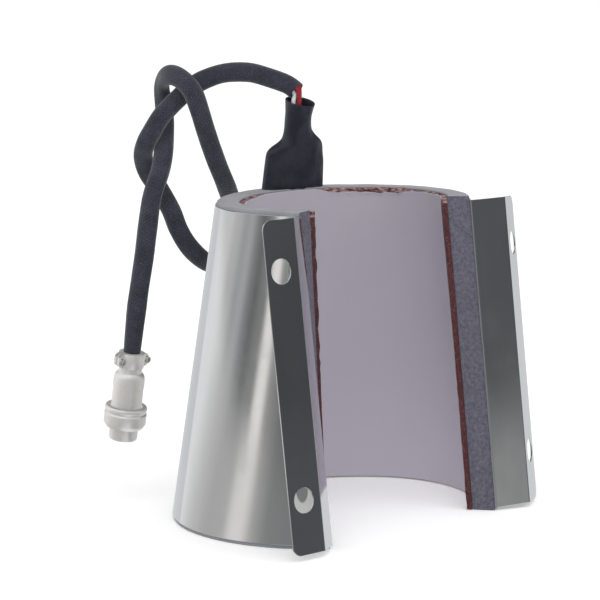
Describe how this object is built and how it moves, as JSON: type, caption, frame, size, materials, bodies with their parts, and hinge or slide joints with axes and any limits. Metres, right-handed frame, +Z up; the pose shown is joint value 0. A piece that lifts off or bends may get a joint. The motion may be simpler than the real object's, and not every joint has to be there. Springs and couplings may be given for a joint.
{
  "type": "mug press heating element",
  "caption": "Conical open wrap of polished steel, foam and a heater mat for tapered mugs, with drilled clamp strips, a sleeved lead and a round locking plug.",
  "frame": {"origin": "on the surface the wrap stands on, at the middle of the wrap's outline", "axes": "+Z up to the narrow end, -Y out of the opening, +X to the right seen from the opening"},
  "size_m": [0.1555, 0.1314, 0.1867],
  "materials": {
    "polished_steel": "mirror polished stainless steel",
    "grey_foam": "matt closed-cell silicone foam",
    "red_silicone": "matt silicone rubber",
    "element_foil": "etched resistance foil",
    "grey_lining": "smooth matt silicone skin",
    "sensor": "glass bead with enamelled wires",
    "tinned_metal": "tinned crimp",
    "red_wire": "silicone wire insulation",
    "white_wire": "silicone wire insulation",
    "shrink_tube": "shrunk polyolefin tube with a soft sheen",
    "woven_sleeve": "varnished woven glass sleeve",
    "nickel": "satin nickel plate",
    "screw_steel": "nickel plated screw",
    "black_insulator": "moulded thermoset",
    "gold_contact": "gold plate"
  },
  "bodies": {
    "root": {"back_sheet": "polished_steel", "back_foam": "grey_foam", "back_heater_mat": "red_silicone", "back_heating_element": "element_foil", "back_lining": "grey_lining", "temperature_sensor": "sensor", "lead_splices": "tinned_metal", "power_leads": "red_wire", "sensor_leads": "white_wire", "shrink_boot": "shrink_tube", "cable_sleeve": "woven_sleeve", "plug_rear_shell": "nickel", "plug_cable_clamp": "nickel", "plug_clamp_screws": "screw_steel", "plug_set_screw": "screw_steel", "plug_nose": "nickel", "plug_insulator": "black_insulator", "plug_contacts": "gold_contact"},
    "left_wing": {"left_sheet": "polished_steel", "left_flange": "polished_steel", "left_foam": "grey_foam", "left_heater_mat": "red_silicone", "left_heating_element": "element_foil", "left_lining": "grey_lining"},
    "right_wing": {"right_sheet": "polished_steel", "right_flange": "polished_steel", "right_foam": "grey_foam", "right_heater_mat": "red_silicone", "right_heating_element": "element_foil", "right_lining": "grey_lining"},
    "coupling_ring": {"plug_coupling_ring": "nickel"}
  },
  "joints": [
    {"name": "left_flex", "type": "hinge", "parent": "root", "child": "left_wing", "pos_m": [-0.06152, 0.03264, 0.0015], "axis": [0.0884, -0.0884, 0.9922], "range_deg": [-3, 18], "stiffness_Nm_per_rad": 2.5},
    {"name": "right_flex", "type": "hinge", "parent": "root", "child": "right_wing", "pos_m": [0.06152, 0.03264, 0.0015], "axis": [0.0884, 0.0884, -0.9922], "range_deg": [-3, 18], "stiffness_Nm_per_rad": 2.5},
    {"name": "ring_spin", "type": "hinge", "parent": "root", "child": "coupling_ring", "pos_m": [-0.066, 0.05829, 0.03832], "axis": [0, 0.1478, -0.989], "continuous": true}
  ],
  "couplings": [
    {"joint": "right_flex", "follows": "left_flex", "ratio": 1}
  ]
}
